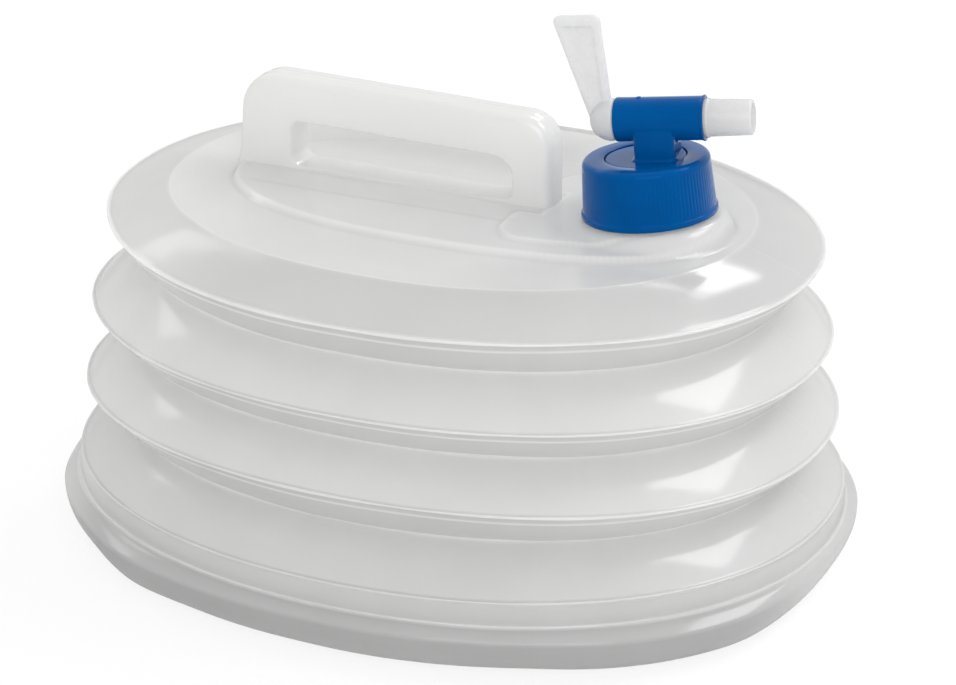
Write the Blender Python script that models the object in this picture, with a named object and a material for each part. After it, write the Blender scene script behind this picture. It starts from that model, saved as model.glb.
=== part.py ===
"""Collapsible water carrier: a bellows container that folds flat, with a screw cap and a lever tap.

Lengths are in metres and +Z is up. The origin lies on the ground under the middle of the base.
X runs along the carrying handle, and the filler neck stands at the +X end.
"""

import math

import bmesh
import bpy
from mathutils import Matrix, Vector

# Plan of the container: every level is an oval, and all of them share one difference of its two sides
oval_slimness = 0.0316
oval_power = 2.11
oval_points = 56

# Walls and clearances
wall = 0.0010
fit_gap = 0.0003
overrun = 0.0030
weld_distance = fit_gap / 100.0
sharp_angle = math.radians(32.0)

# Base pan, from the ground up; its foot and bulge are a little squarer than the rest
base_slimness = 0.0284
base_power = 2.24
base_foot_half_length = 0.1636
base_bulge_half_length = 0.1795
base_flange_half_length = 0.1757
base_crest_half_length = 0.1750
base_bulge_height = 0.0185
base_flange_height = 0.0224
base_crest_height = 0.0328
base_foot_steps = 4
base_flange_steps = 3

# Bellows: three folds between four crests
lower_crest_half_length = 0.1711
middle_crest_half_length = 0.1670
top_crest_half_length = 0.1620
lower_fold_height = 0.0378
middle_fold_height = 0.0339
upper_fold_height = 0.0366
fold_depth = 0.0178
root_height_share = 0.48
crest_leg = 0.0032
crest_nose_share = 1.25

# Shoulder and deck
shoulder_width = 0.0297
shoulder_rise = 0.0118
shoulder_swell = 0.0012
deck_half_length = top_crest_half_length - shoulder_width
deck_half_width = deck_half_length - oval_slimness

# Raised pad on the deck, and the boss of the neck on the pad
pad_left_inset = 0.0263
pad_right_inset = 0.0063
pad_side_inset = 0.0407
pad_centre_x = (pad_left_inset - pad_right_inset) / 2.0
pad_half_length = deck_half_length - (pad_left_inset + pad_right_inset) / 2.0
pad_half_width = deck_half_width - pad_side_inset
pad_power = 2.3
pad_height = 0.0026
pad_slope = 0.0050
pad_points = 44
boss_inset = 0.0125
boss_height = 0.0013
boss_slope = 0.0025
boss_left_slant = 0.85

# Filler neck: its axis leans back towards the handle
neck_edge_inset = 0.0425
neck_x = deck_half_length - neck_edge_inset
neck_lean = math.radians(6.0)
neck_seat_gap = 0.0004
neck_bore_radius = 0.0214
neck_radius = 0.0230
neck_collar_radius = 0.0310
neck_collar_slope = 0.0050
neck_collar_drop = 0.0010
neck_steps = 48

# Carrying handle: a hollow bar on two posts, with a gap for the fingers
handle_edge_inset = 0.0308
handle_neck_distance = 0.0430
boss_handle_overlap = 0.0408
handle_left_x = handle_edge_inset - deck_half_length
handle_right_x = neck_x - handle_neck_distance
boss_left_x = handle_right_x - boss_handle_overlap
handle_rise = 0.0423
handle_thickness = 0.0176
handle_edge_radius = 0.0045
handle_left_corner = 0.0170
handle_right_corner = 0.0135
left_post_width = 0.0250
right_post_width = 0.0175
grip_height = 0.0185
grip_gap_height = 0.0193
grip_gap_corner = 0.0045
grip_gap_right_corner = 0.0090
grip_gap_edge_radius = 0.0018
handle_foot_width = 0.0500
handle_foot_overhang = 0.0070
handle_foot_height = 0.0034
corner_steps = 5
handle_edge_steps = 3
flare_share = 0.33

# Screw thread of the neck and the cap
thread_pitch = 0.0040
thread_turns = 1.25
thread_depth = 0.0016
thread_root_width = 0.0017
thread_crest_width = 0.0007
thread_sink = 0.0004
thread_start = 0.0058
thread_steps_per_turn = 36
thread_fade_steps = 3
thread_radial_gap = 0.0008

# Screw cap: a ring that holds the tap down on the neck
cap_height = 0.0253
cap_lip_radius = 0.0291
cap_lip_height = 0.0026
cap_foot_radius = 0.0283
cap_top_radius = 0.0272
cap_top_fillet = 0.0028
cap_top_thickness = 0.0022
cap_window_radius = 0.0176
cap_rib_depth = 0.0003
cap_ribs = 36
cap_fillet_steps = 3

# Sealing washer between the neck's rim and the tap's flange
washer_thickness = 0.0015
washer_bore_radius = 0.0160

# Tap body: a flange and a stem that carry a cross barrel
tap_yaw = math.radians(10.8)
tap_flange_thickness = 0.0022
tap_disc_recess = 0.0004
tap_stem_radius = 0.0099
tap_stem_bore_radius = 0.0062
tap_stem_offset = 0.0054
barrel_height = 0.0411
barrel_radius = 0.0094
barrel_left = 0.0170
barrel_right = 0.0215
barrel_edge = 0.0006
tap_nib_radius = 0.0014
tap_nib_height = 0.0006
tap_nib_offset = 0.0105
round_steps = 40

# Tap plug: a hollow plug that turns in the barrel, with the spout and the lever
plug_radius = 0.0081
plug_bore_radius = 0.0052
plug_bore_depth = 0.0500
plug_port_radius = 0.0048
plug_bead_height = 0.0005
plug_bead_length = 0.0010
spout_length = 0.0187
spout_end_radius = 0.0073
plug_head_radius = 0.0090
plug_head_length = 0.0100
plug_nose_share = 0.55
plug_cheek_share = 0.88
lever_thickness = 0.0046
lever_top = 0.0453
lever_foot = 0.0080
lever_top_width = 0.0207
lever_top_drop = 0.0017
lever_lean = 0.0030
lever_edge = 0.0007
lever_edge_steps = 2


def new_material(name, colour, roughness, transmission=0.0):
    material = bpy.data.materials.new(name)
    material.use_nodes = True
    shader = material.node_tree.nodes["Principled BSDF"]
    shader.inputs["Base Color"].default_value = (*colour, 1.0)
    shader.inputs["Roughness"].default_value = roughness
    shader.inputs["Metallic"].default_value = 0.0
    shader.inputs["Transmission Weight"].default_value = transmission
    material.diffuse_color = (*colour, 1.0)
    return material


def new_empty(name, parent, place):
    empty = bpy.data.objects.new(name, None)
    bpy.context.collection.objects.link(empty)
    empty.parent = parent
    empty.matrix_local = place
    return empty


def new_object(name, bm, material=None, parent=None, place=None):
    """Turns the bmesh into a named object; without a material it is only a tool for booleans."""
    bmesh.ops.recalc_face_normals(bm, faces=bm.faces)
    mesh = bpy.data.meshes.new(name)
    bm.to_mesh(mesh)
    bm.free()
    mesh.shade_smooth()
    mesh.set_sharp_from_angle(angle=sharp_angle)
    item = bpy.data.objects.new(name, mesh)
    bpy.context.collection.objects.link(item)
    item.parent = parent
    item.matrix_local = place or Matrix.Identity(4)
    if material:
        mesh.materials.append(material)
    else:
        item.hide_render = True
        item.display_type = "WIRE"
    return item


def add_boolean(target, tool, operation):
    modifier = target.modifiers.new(tool.name, "BOOLEAN")
    modifier.operation = operation
    modifier.solver = "EXACT"
    modifier.object = tool


def add_wall(target):
    """Gives an outer skin its wall, grown inwards."""
    modifier = target.modifiers.new("wall", "SOLIDIFY")
    modifier.thickness = wall
    modifier.offset = -1.0
    modifier.use_even_offset = True


def oval(half_length, half_width, power, count, centre_x=0.0):
    """Points round a superellipse, anticlockwise from +X."""
    points = []
    for step in range(count):
        angle = math.tau * step / count
        cosine = math.cos(angle)
        sine = math.sin(angle)
        x = half_length * math.copysign(abs(cosine) ** (2.0 / power), cosine)
        y = half_width * math.copysign(abs(sine) ** (2.0 / power), sine)
        points.append((centre_x + x, y))
    return points


def body_oval(half_length, base_share=0.0):
    """An oval of the container, or between it and the oval of the base pan's foot."""
    slimness = oval_slimness + (base_slimness - oval_slimness) * base_share
    power = oval_power + (base_power - oval_power) * base_share
    return oval(half_length, half_length - slimness, power, oval_points)


def loft(levels, close_start, close_end):
    """Skins a stack of outlines, each given as (points, height)."""
    bm = bmesh.new()
    rings = []
    for points, height in levels:
        verts = [bm.verts.new((x, y, height)) for x, y in points]
        rings.append([bm.edges.new((verts[i - 1], verts[i])) for i in range(len(verts))])
    for lower, upper in zip(rings, rings[1:]):
        bmesh.ops.bridge_loops(bm, edges=lower + upper)
    if close_start:
        bmesh.ops.contextual_create(bm, geom=rings[0])
    if close_end:
        bmesh.ops.contextual_create(bm, geom=rings[-1])
    return bm


def lathe(profile, steps, closed):
    """Spins a profile of (radius, height) points about Z."""
    bm = bmesh.new()
    verts = [bm.verts.new((radius, 0.0, height)) for radius, height in profile]
    edges = [bm.edges.new(pair) for pair in zip(verts, verts[1:])]
    if closed:
        edges.append(bm.edges.new((verts[-1], verts[0])))
    bmesh.ops.spin(bm, geom=verts + edges, cent=(0.0, 0.0, 0.0), axis=(0.0, 0.0, 1.0),
                   angle=math.tau, steps=steps, use_merge=True)
    bmesh.ops.remove_doubles(bm, verts=bm.verts, dist=weld_distance)
    return bm


def rod(name, radius, start, end, parent, place=None, steps=round_steps):
    """A plain round bar along its parent's Z, used to join or to cut."""
    bm = lathe([(0.0, start), (radius, start), (radius, end), (0.0, end)], steps, False)
    return new_object(name, bm, parent=parent, place=place)


def towards(start, end, distance):
    """The point at a distance from start on the way to end."""
    start = Vector(start)
    return tuple(start + (Vector(end) - start).normalized() * distance)


# Levels of the bellows, worked out from the heights of the folds
crest_nose = wall * crest_nose_share
crests = [(base_crest_half_length, base_crest_height)]
for fold_height, fold_half_length in (
    (lower_fold_height, lower_crest_half_length),
    (middle_fold_height, middle_crest_half_length),
    (upper_fold_height, top_crest_half_length),
):
    crests.append((fold_half_length, crests[-1][1] + fold_height))
roots = []
for below, above in zip(crests, crests[1:]):
    roots.append((above[0] - fold_depth, below[1] + (above[1] - below[1]) * root_height_share))

deck_height = crests[-1][1] + shoulder_rise
pad_top = deck_height + pad_height
boss_top = pad_top + boss_height
neck_seat = boss_top + cap_lip_radius * math.sin(neck_lean) + neck_seat_gap


def crest_profile(crest, root_below, root_above):
    """A blunt crest with a short leg along the wall below it and along the wall above it."""
    low = (crest[0], crest[1] - crest_nose / 2.0)
    high = (crest[0], crest[1] + crest_nose / 2.0)
    points = [low, high]
    if root_below:
        points.insert(0, towards(low, (root_below[0], root_below[1] + crest_nose / 2.0), crest_leg))
    if root_above:
        points.append(towards(high, (root_above[0], root_above[1] - crest_nose / 2.0), crest_leg))
    return points


def fold_profile(below, root, above):
    """The two walls of a fold, from just above one crest to just below the next."""
    low = (root[0], root[1] - crest_nose / 2.0)
    high = (root[0], root[1] + crest_nose / 2.0)
    start = towards((below[0], below[1] + crest_nose / 2.0), low, crest_leg + fit_gap)
    end = towards((above[0], above[1] - crest_nose / 2.0), high, crest_leg + fit_gap)
    return [start, low, high, end]


def body_skin(name, profile, material, close_start=False, close_end=False):
    """A container part: its outer skin on ovals, then the wall; its origin is at its lowest level."""
    origin = profile[0][1]
    levels = [(body_oval(half_length, *share), height - origin) for half_length, height, *share in profile]
    bm = loft(levels, close_start, close_end)
    item = new_object(name, bm, material, place=Matrix.Translation((0.0, 0.0, origin)))
    add_wall(item)
    return item


def build_base(material):
    """The base pan: a rounded foot, the bulge, the flange line and the lowest crest."""
    profile = []
    for step in range(base_foot_steps + 1):
        angle = math.pi / 2.0 * step / base_foot_steps
        reach = (base_bulge_half_length - base_foot_half_length) * math.sin(angle)
        profile.append((base_foot_half_length + reach, base_bulge_height * (1.0 - math.cos(angle)), 1.0))
    shoulder_drop = base_bulge_half_length - base_flange_half_length
    for step in range(1, base_flange_steps + 1):
        angle = math.pi / 2.0 * step / base_flange_steps
        reach = base_bulge_half_length - shoulder_drop * (1.0 - math.cos(angle))
        rise = (base_flange_height - base_bulge_height) * math.sin(angle)
        profile.append((reach, base_bulge_height + rise, 1.0 - step / base_flange_steps))
    profile += crest_profile(crests[0], None, roots[0])
    return body_skin("container_base", profile, material, close_start=True)


def build_bellows(fold_material, crest_material):
    names = ("lower", "middle", "upper")
    for name, below, root, above in zip(names, crests, roots, crests[1:]):
        body_skin(f"bellows_fold_{name}", fold_profile(below, root, above), fold_material)
    for name, crest, below, above in zip(names, crests[1:], roots, roots[1:]):
        body_skin(f"fold_crest_{name}", crest_profile(crest, below, above), crest_material)


def pad_oval(inset):
    return oval(pad_half_length - inset, pad_half_width - inset, pad_power, pad_points, pad_centre_x)


def boss_outline(inset):
    """The end of the pad's oval round the neck, clear of the handle's foot and cut off aslant beside it."""
    foot_side = handle_foot_width / 2.0 + fit_gap + inset
    foot_end = handle_right_x + handle_foot_overhang + fit_gap + inset
    points = []
    for x, y in pad_oval(boss_inset + inset):
        slanted = boss_left_x + inset + boss_left_slant * abs(y)
        points.append((max(x, slanted if abs(y) > foot_side else foot_end), y))
    return points


def raised_step(name, outline, slope, base, top):
    """An outer solid and an inner solid, one wall smaller, of a raised part of the deck."""
    outer_levels = [
        (outline(0.0), base - wall / 2.0),
        (outline(0.0), base),
        (outline(slope), top),
    ]
    inner_levels = [
        (outline(wall), base - wall - overrun),
        (outline(wall), base - wall),
        (outline(slope + wall), top - wall),
    ]
    outer = new_object(f"{name}_outer", loft(outer_levels, True, True))
    inner = new_object(f"{name}_inner", loft(inner_levels, True, True))
    return outer, inner


def collar_tools(neck_axis):
    """The raised ring of the deck under the cap, square to the neck's axis and ended in the deck."""
    foot = neck_seat - deck_height + neck_collar_radius * math.sin(neck_lean) + neck_collar_slope
    top = -neck_collar_drop
    foot_radius = neck_collar_radius + neck_collar_slope
    outer_profile = [
        (0.0, -foot),
        (foot_radius, -foot),
        (neck_collar_radius, top),
        (0.0, top),
    ]
    inner_profile = [
        (0.0, -foot - overrun),
        (foot_radius - wall, -foot - overrun),
        (neck_collar_radius - wall, top - wall),
        (0.0, top - wall),
    ]
    outer = new_object("collar_outer", lathe(outer_profile, neck_steps, False), parent=neck_axis)
    inner = new_object("collar_inner", lathe(inner_profile, neck_steps, False), parent=neck_axis)
    under_deck = Matrix.Translation((neck_x, 0.0, deck_height - wall / 2.0))
    trim_radius = foot_radius + overrun
    trim = rod("collar_trim", trim_radius, -foot - overrun, 0.0, None, under_deck, neck_steps)
    add_boolean(outer, trim, "DIFFERENCE")
    return outer, inner


def build_top(material, neck_axis):
    """The top of the container: crest, shoulder, deck, pad and boss, open under the handle and the neck."""
    middle_height = crests[-1][1] + shoulder_rise / 2.0 + shoulder_swell
    profile = crest_profile(crests[-1], roots[-1], None)
    profile.append((top_crest_half_length - shoulder_width / 2.0, middle_height))
    profile.append((deck_half_length, deck_height))
    top = body_skin("container_top", profile, material, close_end=True)
    pad_outer, pad_inner = raised_step("pad", pad_oval, pad_slope, deck_height, pad_top)
    boss_outer, boss_inner = raised_step("boss", boss_outline, boss_slope, pad_top, boss_top)
    collar_outer, collar_inner = collar_tools(neck_axis)
    for tool in (pad_outer, boss_outer, collar_outer):
        add_boolean(top, tool, "UNION")
    for tool in (pad_inner, boss_inner, collar_inner):
        add_boolean(top, tool, "DIFFERENCE")
    bore = rod("deck_bore", neck_bore_radius, -cap_height, cap_height, neck_axis, steps=neck_steps)
    add_boolean(top, bore, "DIFFERENCE")
    slot_foot = deck_height - wall - overrun
    slot = loft([(slot_outline(), slot_foot), (slot_outline(), boss_top + overrun)], True, True)
    add_boolean(top, new_object("handle_slot", slot), "DIFFERENCE")
    return top


def slot_outline():
    """The open space inside the handle where it meets the pad."""
    left = handle_left_x + wall
    right = handle_right_x - wall
    side = handle_thickness / 2.0 - wall
    return [(right, -side), (right, side), (left, side), (left, -side)]


def handle_outline(inset, foot):
    """The side view of the handle, open end down, with two rounded upper corners."""
    points = [(handle_left_x + inset, foot), (handle_right_x - inset, foot)]
    crown = pad_top + handle_rise
    corners = (
        (handle_right_x - handle_right_corner, handle_right_corner, 0.0),
        (handle_left_x + handle_left_corner, handle_left_corner, math.pi / 2.0),
    )
    for centre_x, radius, turn in corners:
        for step in range(corner_steps + 1):
            angle = turn + math.pi / 2.0 * step / corner_steps
            reach = radius - inset
            points.append((centre_x + reach * math.cos(angle), crown - radius + reach * math.sin(angle)))
    return points


def gap_outline(outset):
    """The side view of the finger gap."""
    top = pad_top + handle_rise - grip_height
    bottom = top - grip_gap_height
    left = handle_left_x + left_post_width
    right = handle_right_x - right_post_width
    corners = (
        (right - grip_gap_right_corner, top - grip_gap_right_corner, grip_gap_right_corner, 0.0),
        (left + grip_gap_corner, top - grip_gap_corner, grip_gap_corner, 1.0),
        (left + grip_gap_corner, bottom + grip_gap_corner, grip_gap_corner, 2.0),
        (right - grip_gap_corner, bottom + grip_gap_corner, grip_gap_corner, 3.0),
    )
    points = []
    for centre_x, centre_z, radius, quarter in corners:
        for step in range(corner_steps + 1):
            angle = math.pi / 2.0 * (quarter + step / corner_steps)
            reach = radius + outset
            points.append((centre_x + reach * math.cos(angle), centre_z + reach * math.sin(angle)))
    return points


def side_loft(levels):
    """Skins outlines drawn in X and Z that are stacked along Y."""
    bm = loft(levels, True, True)
    bmesh.ops.transform(bm, matrix=Matrix.Rotation(math.pi / 2.0, 4, "X"), verts=bm.verts)
    return bm


def foot_outline(overhang, half_width):
    """The plan of the flared foot, with its ends rounded."""
    left = handle_left_x - overhang
    right = handle_right_x + overhang
    points = []
    for end_x, turn in ((right, -math.pi / 2.0), (left, math.pi / 2.0)):
        inwards = -1.0 if end_x > left else 1.0
        for step in range(2 * corner_steps + 1):
            angle = turn + math.pi * step / (2 * corner_steps)
            reach = handle_foot_overhang + wall
            x = end_x + inwards * reach
            points.append((x + reach * math.cos(angle), half_width * math.sin(angle)))
    return points


def build_handle(material):
    """The hollow handle: a rounded bar on two posts over a flared foot, open underneath."""
    foot = pad_top + fit_gap
    half = handle_thickness / 2.0
    levels = []
    for side in (-1.0, 1.0):
        for step in range(handle_edge_steps + 1):
            turn = step if side < 0.0 else handle_edge_steps - step
            angle = math.pi / 2.0 * turn / handle_edge_steps
            inset = handle_edge_radius * (1.0 - math.sin(angle))
            depth = half - handle_edge_radius * (1.0 - math.cos(angle))
            levels.append((handle_outline(inset, foot), side * depth))
    handle = new_object("carry_handle", side_loft(levels), material)

    flare = handle_foot_width / 2.0 - half
    flare_middle = foot + handle_foot_height * flare_share
    foot_levels = [
        (foot_outline(handle_foot_overhang, half + flare), foot),
        (foot_outline(handle_foot_overhang / 2.0, half + flare * flare_share), flare_middle),
        (foot_outline(0.0, half + fit_gap), foot + handle_foot_height),
    ]
    add_boolean(handle, new_object("handle_foot", loft(foot_levels, True, True)), "UNION")

    gap_levels = []
    for depth, outset in (
        (-half - overrun, grip_gap_edge_radius),
        (-half, grip_gap_edge_radius),
        (-half + grip_gap_edge_radius, 0.0),
        (half - grip_gap_edge_radius, 0.0),
        (half, grip_gap_edge_radius),
        (half + overrun, grip_gap_edge_radius),
    ):
        gap_levels.append((gap_outline(outset), depth))
    gap = new_object("finger_gap", side_loft(gap_levels))
    add_boolean(handle, gap, "DIFFERENCE")

    inside = handle_outline(wall, foot - overrun)
    hollow = new_object("handle_hollow", side_loft([(inside, wall - half), (inside, half - wall)]))
    core_outline = gap_outline(wall + grip_gap_edge_radius)
    core = new_object("handle_core", side_loft([(core_outline, -half), (core_outline, half)]))
    add_boolean(hollow, core, "DIFFERENCE")
    add_boolean(handle, hollow, "DIFFERENCE")
    return handle


def thread_tool(name, start, base_radius, outwards, parent):
    """A helical ridge with tapering ends, sunk a little into the wall that carries it."""
    bm = bmesh.new()
    count = int(thread_steps_per_turn * thread_turns)
    sections = []
    for step in range(count + 1):
        angle = math.tau * step / thread_steps_per_turn
        height = start + thread_pitch * step / thread_steps_per_turn
        fade = min(1.0, step / thread_fade_steps, (count - step) / thread_fade_steps)
        crest = base_radius + outwards * (thread_depth * fade)
        root = base_radius - outwards * thread_sink
        corners = (
            (root, -thread_root_width / 2.0),
            (root, thread_root_width / 2.0),
            (crest, thread_crest_width / 2.0),
            (crest, -thread_crest_width / 2.0),
        )
        ring = []
        for radius, offset in corners:
            ring.append(bm.verts.new((radius * math.cos(angle), radius * math.sin(angle), height + offset)))
        sections.append([bm.edges.new((ring[i - 1], ring[i])) for i in range(len(ring))])
    for first, second in zip(sections, sections[1:]):
        bmesh.ops.bridge_loops(bm, edges=first + second)
    bmesh.ops.contextual_create(bm, geom=sections[0])
    bmesh.ops.contextual_create(bm, geom=sections[-1])
    return new_object(name, bm, parent=parent)


# Stack in the cap, measured along the neck's axis from the cap's lower edge
cap_ceiling = cap_height - cap_top_thickness
flange_top = cap_ceiling - fit_gap
flange_bottom = flange_top - tap_flange_thickness
washer_bottom = flange_bottom - fit_gap - washer_thickness
neck_rim = washer_bottom - fit_gap
cap_bore_radius = neck_radius + thread_depth + thread_radial_gap
washer_radius = neck_radius + thread_depth / 2.0


def build_neck(material, neck_axis):
    foot = -neck_collar_drop + fit_gap
    profile = [
        (neck_radius, foot),
        (neck_radius, neck_rim),
        (neck_bore_radius, neck_rim),
        (neck_bore_radius, foot),
    ]
    neck = new_object("threaded_neck", lathe(profile, neck_steps, True), material, neck_axis)
    add_boolean(neck, thread_tool("neck_thread", thread_start, neck_radius, 1.0, neck_axis), "UNION")
    return neck


def build_washer(material, neck_axis):
    top = washer_bottom + washer_thickness
    profile = [
        (washer_radius, washer_bottom),
        (washer_radius, top),
        (washer_bore_radius, top),
        (washer_bore_radius, washer_bottom),
    ]
    return new_object("seal_washer", lathe(profile, neck_steps, True), material, neck_axis)


def build_cap(material, neck_axis):
    """The cap ring: a lip, a ribbed skirt, a rounded top with a round window, and the inner thread."""
    skirt_foot = cap_lip_height + (cap_lip_radius - cap_foot_radius)
    skirt_top = cap_height - cap_top_fillet
    profile = [(cap_lip_radius, 0.0), (cap_lip_radius, cap_lip_height), (cap_foot_radius, skirt_foot)]
    for step in range(cap_fillet_steps + 1):
        angle = math.pi / 2.0 * step / cap_fillet_steps
        radius = cap_top_radius - cap_top_fillet * (1.0 - math.cos(angle))
        profile.append((radius, skirt_top + cap_top_fillet * math.sin(angle)))
    profile += [
        (cap_window_radius, cap_height),
        (cap_window_radius, cap_ceiling),
        (cap_bore_radius, cap_ceiling),
        (cap_bore_radius, 0.0),
    ]
    bm = lathe(profile, 2 * cap_ribs, True)
    for vert in bm.verts:
        radius = math.hypot(vert.co.x, vert.co.y)
        outside = radius > cap_bore_radius + fit_gap
        on_skirt = skirt_foot - fit_gap < vert.co.z < skirt_top + fit_gap
        groove = round(math.atan2(vert.co.y, vert.co.x) / math.tau * 2 * cap_ribs) % 2
        if outside and on_skirt and groove:
            vert.co.x *= 1.0 - cap_rib_depth / radius
            vert.co.y *= 1.0 - cap_rib_depth / radius
    cap = new_object("screw_cap", bm, material, neck_axis)
    start = thread_start - thread_pitch / 2.0
    add_boolean(cap, thread_tool("cap_thread", start, cap_bore_radius, -1.0, neck_axis), "UNION")
    return cap


def build_tap_body(material, tap_axis, barrel_axis):
    """The tap body: flange, disc in the cap's window, stem, and the cross barrel, bored through."""
    disc_top = cap_height - tap_disc_recess
    disc_radius = cap_window_radius - fit_gap
    profile = [
        (0.0, flange_bottom),
        (washer_radius, flange_bottom),
        (washer_radius, flange_top),
        (disc_radius, flange_top),
        (disc_radius, disc_top),
        (0.0, disc_top),
    ]
    body = new_object("tap_body", lathe(profile, neck_steps, False), material, tap_axis)
    stem_place = Matrix.Translation((tap_stem_offset, 0.0, 0.0))
    stem = rod("stem_bar", tap_stem_radius, flange_top, barrel_height, tap_axis, stem_place)
    add_boolean(body, stem, "UNION")
    barrel_profile = [
        (0.0, -barrel_left),
        (barrel_radius - barrel_edge, -barrel_left),
        (barrel_radius, -barrel_left + barrel_edge),
        (barrel_radius, barrel_right - barrel_edge),
        (barrel_radius - barrel_edge, barrel_right),
        (0.0, barrel_right),
    ]
    barrel = new_object("barrel_bar", lathe(barrel_profile, round_steps, False), parent=barrel_axis)
    add_boolean(body, barrel, "UNION")
    nib_place = Matrix.Translation((tap_stem_offset - barrel_left + tap_nib_offset, 0.0, 0.0))
    nib_foot = barrel_height + barrel_radius - barrel_edge
    nib_top = barrel_height + barrel_radius + tap_nib_height
    add_boolean(body, rod("barrel_nib", tap_nib_radius, nib_foot, nib_top, tap_axis, nib_place), "UNION")
    bore_foot = flange_bottom - overrun
    stem_bore = rod("stem_bore", tap_stem_bore_radius, bore_foot, barrel_height, tap_axis, stem_place)
    add_boolean(body, stem_bore, "DIFFERENCE")
    bore_start = -barrel_left - overrun
    bore_end = barrel_right + overrun
    bore = rod("barrel_bore", plug_radius + fit_gap, bore_start, bore_end, barrel_axis)
    add_boolean(body, bore, "DIFFERENCE")
    return body


def build_tap_plug(material, barrel_axis):
    """The plug: head, plug with its side port, retaining bead and spout on one axis, and the lever."""
    head_face = -barrel_left - fit_gap
    head_back = head_face - plug_head_length
    bead_start = barrel_right + fit_gap
    bead_end = bead_start + plug_bead_length
    mouth = barrel_right + spout_length
    profile = [
        (0.0, head_back),
        (plug_head_radius * plug_nose_share, head_back),
        (plug_head_radius * plug_cheek_share, head_back + plug_head_length * (1.0 - plug_cheek_share)),
        (plug_head_radius, head_back + plug_head_length * plug_nose_share),
        (plug_head_radius, head_face),
        (plug_radius, head_face),
        (plug_radius, bead_start),
        (plug_radius + plug_bead_height, bead_start),
        (plug_radius + plug_bead_height, bead_end),
        (plug_radius, bead_end + plug_bead_height),
        (spout_end_radius, mouth),
        (0.0, mouth),
    ]
    plug = new_object("tap_plug", lathe(profile, round_steps, False), material, barrel_axis)
    half = lever_thickness / 2.0
    outline = [
        (-lever_top, head_face - lever_lean),
        (lever_top_drop - lever_top, head_face - lever_lean - lever_top_width),
        (0.0, head_back - lever_edge),
        (lever_foot * plug_nose_share, head_back + lever_edge),
        (lever_foot, (head_face + head_back) / 2.0),
        (0.0, head_face),
    ]
    bm = loft([(outline, -half), (outline, half)], True, True)
    bmesh.ops.transform(bm, matrix=Matrix.Rotation(math.pi / 2.0, 4, "X"), verts=bm.verts)
    lever = new_object("lever_plate", bm, parent=barrel_axis)
    bevel = lever.modifiers.new("edges", "BEVEL")
    bevel.width = lever_edge
    bevel.segments = lever_edge_steps
    add_boolean(plug, lever, "UNION")
    bore = rod("plug_bore", plug_bore_radius, mouth - plug_bore_depth, mouth + overrun, barrel_axis)
    add_boolean(plug, bore, "DIFFERENCE")
    port_place = Matrix.Rotation(math.pi / 2.0, 4, "X")
    port = rod("plug_port", plug_port_radius, 0.0, plug_radius + overrun, barrel_axis, port_place)
    add_boolean(plug, port, "DIFFERENCE")
    return plug


def build_carrier():
    for item in list(bpy.data.objects):
        bpy.data.objects.remove(item, do_unlink=True)
    milky = new_material("milky_polyethylene", (0.72, 0.73, 0.72), 0.32, 0.35)
    folded = new_material("milky_polyethylene_folds", (0.68, 0.69, 0.68), 0.30, 0.40)
    blue = new_material("blue_polyethylene", (0.0, 0.080, 0.300), 0.34)
    white = new_material("white_polypropylene", (0.80, 0.80, 0.79), 0.35, 0.20)
    rubber = new_material("grey_rubber", (0.16, 0.16, 0.17), 0.70)

    neck_foot = Matrix.Translation((neck_x, 0.0, neck_seat))
    neck_axis = new_empty("neck_axis", None, neck_foot @ Matrix.Rotation(-neck_lean, 4, "Y"))
    tap_axis = new_empty("tap_axis", neck_axis, Matrix.Rotation(tap_yaw, 4, "Z"))
    barrel_middle = Matrix.Translation((tap_stem_offset, 0.0, barrel_height))
    barrel_axis = new_empty("barrel_axis", tap_axis, barrel_middle @ Matrix.Rotation(math.pi / 2.0, 4, "Y"))

    build_base(milky)
    build_bellows(folded, milky)
    build_top(milky, neck_axis)
    build_handle(milky)
    build_neck(milky, neck_axis)
    build_washer(rubber, neck_axis)
    build_cap(blue, neck_axis)
    build_tap_body(blue, tap_axis, barrel_axis)
    build_tap_plug(white, barrel_axis)


build_carrier()
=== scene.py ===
"""How the collapsible water carrier looks: its skins, cap and tap, in a studio round the frame.

Lengths are in metres and +Z is up, in the frame of the solids.
"""

import math

import bmesh
import bpy
import numpy as np
from mathutils import Matrix, Vector, noise


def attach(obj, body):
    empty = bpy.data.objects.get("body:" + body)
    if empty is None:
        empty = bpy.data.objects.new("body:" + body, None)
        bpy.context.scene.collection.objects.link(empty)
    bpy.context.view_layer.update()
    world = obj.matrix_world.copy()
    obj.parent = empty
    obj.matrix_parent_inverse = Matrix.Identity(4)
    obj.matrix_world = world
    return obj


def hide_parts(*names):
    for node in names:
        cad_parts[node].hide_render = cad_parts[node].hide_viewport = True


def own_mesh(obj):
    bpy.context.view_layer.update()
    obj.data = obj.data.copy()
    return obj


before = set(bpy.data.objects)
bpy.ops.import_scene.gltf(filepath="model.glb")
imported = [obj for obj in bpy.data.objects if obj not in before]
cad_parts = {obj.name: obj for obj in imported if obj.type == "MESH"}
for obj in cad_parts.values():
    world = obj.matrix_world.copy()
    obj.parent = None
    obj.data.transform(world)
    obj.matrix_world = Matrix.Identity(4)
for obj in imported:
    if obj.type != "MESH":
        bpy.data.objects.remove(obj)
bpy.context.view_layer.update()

# Plan of the container, as in the solids
oval_slimness = 0.0316
oval_power = 2.11
pan_slimness = 0.0284
pan_power = 2.24
column_count = 240
seam_columns = (0.0028, 0.0071, 0.0149)

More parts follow.
